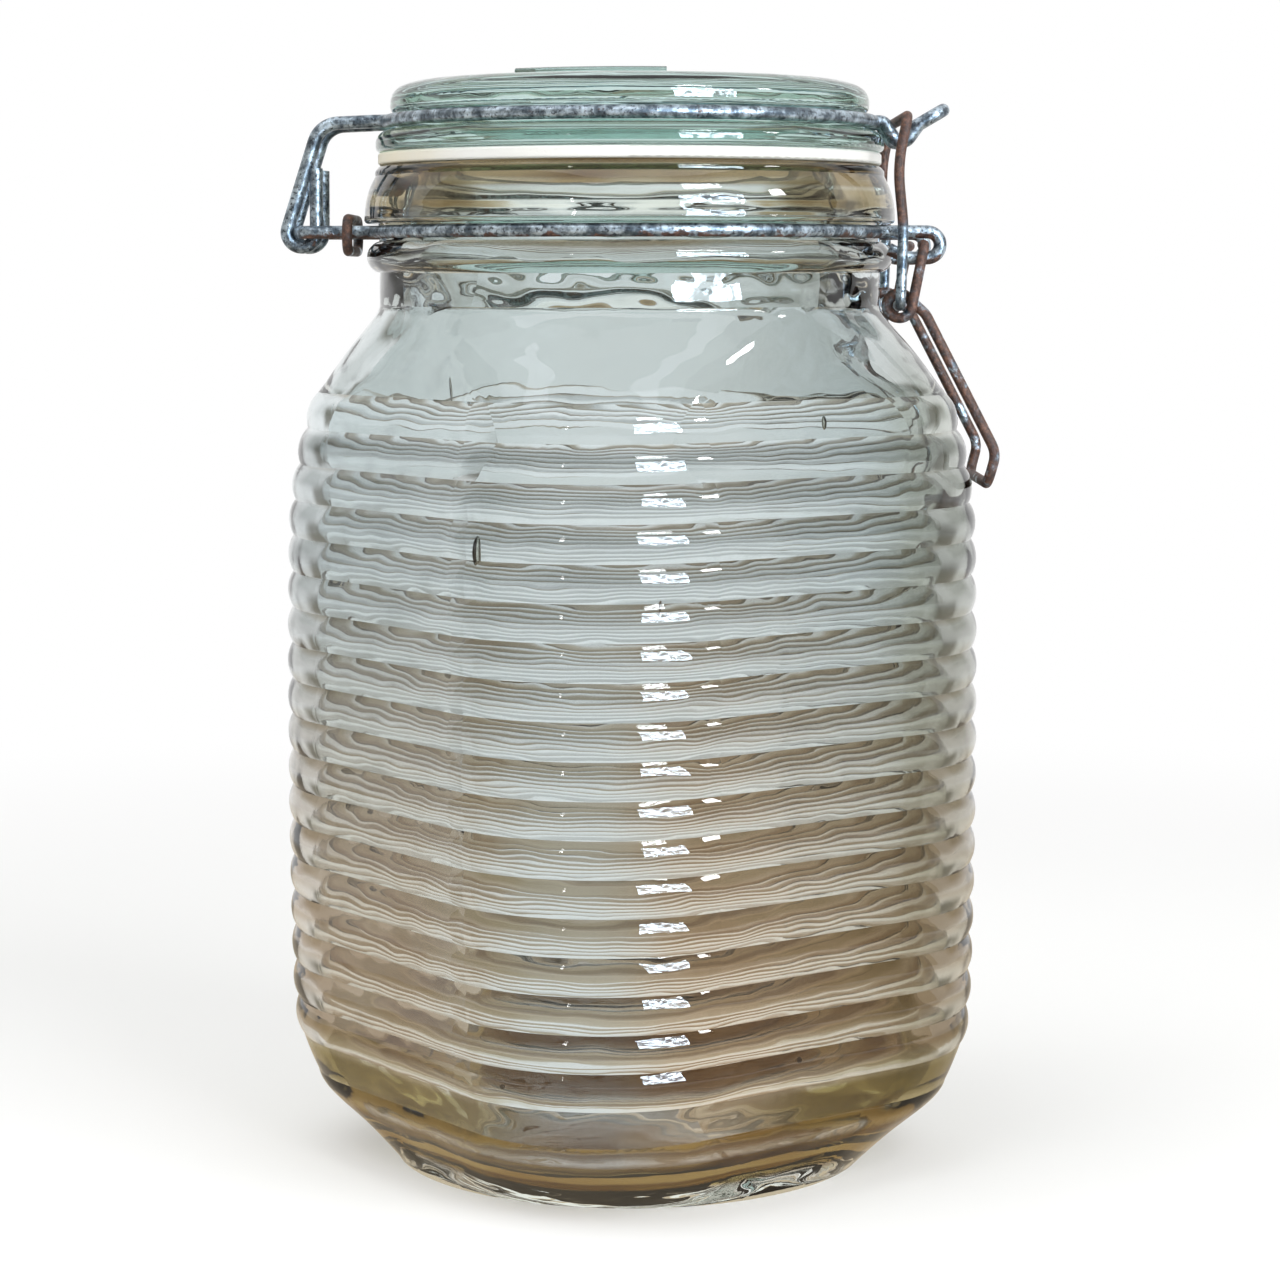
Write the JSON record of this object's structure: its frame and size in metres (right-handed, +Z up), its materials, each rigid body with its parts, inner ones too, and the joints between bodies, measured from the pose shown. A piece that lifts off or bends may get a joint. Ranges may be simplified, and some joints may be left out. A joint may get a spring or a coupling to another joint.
{
  "type": "storage jar",
  "caption": "Clear glass storage jar with ribbed rounded-square body, glass lid, white rubber gasket and wire bail closure with a pull-down lever",
  "frame": {"origin": "centre of the flat foot ring that the jar stands on, on the axis of the neck and lid", "axes": "+Z up, +X towards the latch, -X towards the hinge, -Y the side seen in the picture"},
  "size_m": [0.1393, 0.1364, 0.2121],
  "materials": {
    "jar_glass": "clear pressed glass, faint grey-green",
    "lid_glass": "thick green-grey glass",
    "white_rubber": "matt white rubber",
    "galvanised_wire": "dull galvanised steel with dark pitting",
    "link_wire": "galvanised steel, rusted at the top",
    "rusty_wire": "steel wire with brown rust"
  },
  "bodies": {
    "jar": {"glass_jar": "jar_glass", "neck_wire": "galvanised_wire", "tie_ring": "rusty_wire"},
    "lid": {"lid": "lid_glass", "gasket": "white_rubber", "lid_wire": "galvanised_wire"},
    "lever": {"lever": "rusty_wire"},
    "link": {"link": "link_wire"}
  },
  "joints": [
    {"name": "lid_swing", "type": "hinge", "parent": "jar", "child": "lid", "pos_m": [-0.0638, 0, 0.18174], "axis": [0, -1, 0], "range_deg": [0, 110]},
    {"name": "latch_swing", "type": "hinge", "parent": "jar", "child": "lever", "pos_m": [0.0563, 0, 0.17924], "axis": [0, -1, 0], "range_deg": [0, 100]},
    {"name": "link_swing", "type": "hinge", "parent": "lever", "child": "link", "pos_m": [0.0516, 0, 0.16764], "axis": [0, -1, 0], "range_deg": [-66, 0]}
  ],
  "couplings": [
    {"joint": "link_swing", "follows": "latch_swing", "ratio": -0.66}
  ]
}
